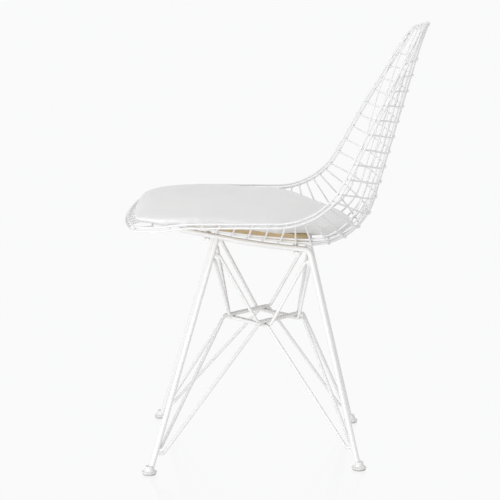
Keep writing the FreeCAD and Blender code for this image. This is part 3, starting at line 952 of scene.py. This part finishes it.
def inflate(piece):
    start = [v.co.copy() for v in piece.data.vertices]
    cloth = piece.modifiers.new("fill", "CLOTH")
    cloth.settings.use_pressure = True
    cloth.settings.uniform_pressure_force = PAD_PRESSURE
    cloth.settings.tension_stiffness = PAD_TENSION
    cloth.settings.bending_stiffness = PAD_BENDING
    cloth.settings.effector_weights.gravity = 0.0
    for number in range(1, PAD_FRAMES + 1):
        bpy.context.scene.frame_set(number)
    apply_modifier(piece, cloth)
    bpy.context.scene.frame_set(1)
    for vert, home in zip(piece.data.vertices, start):
        move = vert.co - home
        if move.length > PAD_CAP:
            vert.co = home + move * (PAD_CAP / move.length)


cushion = pad()
inflate(cushion)
soften = cushion.modifiers.new("round", "SUBSURF")
soften.levels = 1
soften.render_levels = 1
for polygon in cushion.data.polygons:
    polygon.use_smooth = True
dress(cushion, "seat_pad", hide)
print("pad", len(cushion.data.polygons), "faces")

# %% [markdown]
# ## Studio
# The photograph has a white sweep whose floor mirrors the feet faintly. The
# floor is a large plane and the backdrop is the world itself, which is nearly
# white for the camera and a little dimmer as light.

# %% Floor and backdrop
FLOOR_SIZE = 40.0
FLOOR_LEVEL = -0.0004
BACKDROP = (0.955, 0.955, 0.957)
SKY_LIGHT = 0.67
FLOOR_LIGHT = 0.72
MIRROR = 0.10
MIRROR_ROUGHNESS = 0.15


def seen_or_lit(tree):
    """One for rays that show the backdrop, zero for rays that only carry light."""
    make = tree.nodes.new
    path = make("ShaderNodeLightPath")
    shown = path.outputs["Is Camera Ray"]
    for ray in ("Is Glossy Ray", "Is Transmission Ray"):
        total = make("ShaderNodeMath")
        total.operation = "ADD"
        total.use_clamp = True
        tree.links.new(shown, total.inputs[0])
        tree.links.new(path.outputs[ray], total.inputs[1])
        shown = total.outputs[0]
    return shown


def glow(tree, kind, color, strength):
    node = tree.nodes.new(kind)
    node.inputs["Color"].default_value = (*color, 1.0)
    node.inputs["Strength"].default_value = strength
    return node.outputs[0]


def mixed(tree, factor, first, second):
    node = tree.nodes.new("ShaderNodeMixShader")
    if isinstance(factor, float):
        node.inputs["Fac"].default_value = factor
    else:
        tree.links.new(factor, node.inputs["Fac"])
    tree.links.new(first, node.inputs[1])
    tree.links.new(second, node.inputs[2])
    return node.outputs[0]


def floor_material():
    material = bpy.data.materials.new("studio_floor")
    material.use_nodes = True
    tree = material.node_tree
    tree.nodes.clear()
    output = tree.nodes.new("ShaderNodeOutputMaterial")
    mirror = tree.nodes.new("ShaderNodeBsdfGlossy")
    mirror.inputs["Color"].default_value = (1.0, 1.0, 1.0, 1.0)
    mirror.inputs["Roughness"].default_value = MIRROR_ROUGHNESS
    surface = mixed(
        tree, seen_or_lit(tree),
        glow(tree, "ShaderNodeEmission", (1.0, 1.0, 1.0), FLOOR_LIGHT),
        mixed(tree, MIRROR, glow(tree, "ShaderNodeEmission", BACKDROP, 1.0), mirror.outputs[0]))
    tree.links.new(surface, output.inputs["Surface"])
    return material


mesh = bpy.data.meshes.new("studio_floor")
half = FLOOR_SIZE / 2
mesh.from_pydata(
    [(x * half, y * half, FLOOR_LEVEL) for x, y in ((-1, -1), (1, -1), (1, 1), (-1, 1))],
    [], [(0, 1, 2, 3)])
floor = bpy.data.objects.new("studio_floor", mesh)
floor.data.materials.append(floor_material())
bpy.context.collection.objects.link(floor)

world = bpy.data.worlds.new("studio")
bpy.context.scene.world = world
world.use_nodes = True
sky = world.node_tree
sky.nodes.clear()
output = sky.nodes.new("ShaderNodeOutputWorld")
sky.links.new(
    mixed(sky, seen_or_lit(sky),
          glow(sky, "ShaderNodeBackground", (1.0, 1.0, 1.0), SKY_LIGHT),
          glow(sky, "ShaderNodeBackground", BACKDROP, 1.0)),
    output.inputs["Surface"])
print("backdrop", BACKDROP, "light", SKY_LIGHT)

# %% [markdown]
# ## Lights
# The near side of the pad is the brightest place in the photograph and its top
# is greyer, so the main light is a large soft one beside the camera, low. A
# second low one lights the front of the pad, and a weak one hangs overhead. The
# floor is left out of their light, so that it doesn't mirror them from behind.

# %% Lights
not_mirrored = bpy.data.collections.new("not_mirrored")
not_mirrored.objects.link(floor)
not_mirrored.collection_objects[0].light_linking.link_state = "EXCLUDE"


def softbox(name, place, target, size, power):
    data = bpy.data.lights.new(name, "AREA")
    data.shape = "RECTANGLE"
    data.size = size[0]
    data.size_y = size[1]
    data.energy = power
    lamp = bpy.data.objects.new(name, data)
    lamp.location = place
    lamp.visible_camera = False
    lamp.light_linking.receiver_collection = not_mirrored
    lamp.rotation_euler = (Vector(target) - Vector(place)).to_track_quat("-Z", "Y").to_euler()
    bpy.context.collection.objects.link(lamp)
    return lamp


softbox("key", (2.9, -0.9, 0.55), (0.0, 0.0, 0.45), (1.8, 1.4), 46.0)
softbox("front", (1.5, -2.7, 0.30), (0.0, 0.0, 0.45), (1.6, 1.0), 24.0)
softbox("top", (-0.2, 0.5, 2.6), (0.0, 0.0, 0.5), (2.0, 2.0), 10.0)
